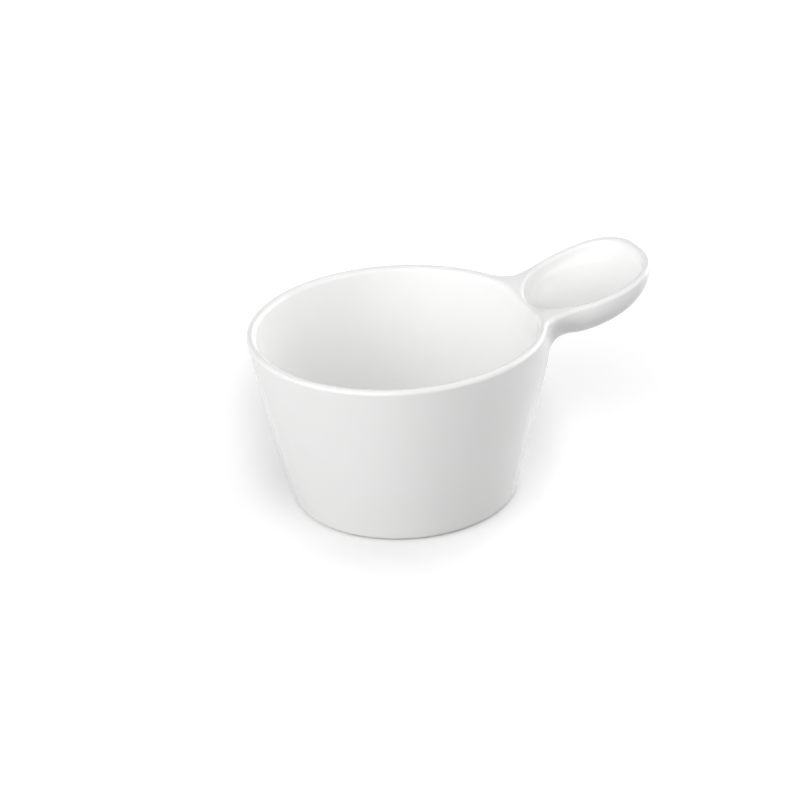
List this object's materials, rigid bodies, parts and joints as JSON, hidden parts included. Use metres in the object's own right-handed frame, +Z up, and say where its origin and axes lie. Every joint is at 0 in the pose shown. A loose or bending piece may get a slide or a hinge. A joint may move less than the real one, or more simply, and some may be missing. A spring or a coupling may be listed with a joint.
{
  "type": "dessert dish",
  "caption": "Round straight-sided glazed porcelain dessert bowl, flared toward the rim, with a shallow scoop-shaped handle rising from one side of the rim.",
  "frame": {"origin": "on the table, under the middle of the dish's overall length and width", "axes": "+Z up out of the bowl, +X from the bowl along the handle, the dish mirror-symmetric about Y = 0"},
  "size_m": [0.157, 0.112, 0.079],
  "materials": {
    "glazed_porcelain": "gloss white glaze, bare at the foot ring",
    "glazed_porcelain_handle": "gloss white glaze"
  },
  "bodies": {
    "root": {"bowl": "glazed_porcelain", "scoop_handle": "glazed_porcelain_handle"}
  },
  "joints": []
}
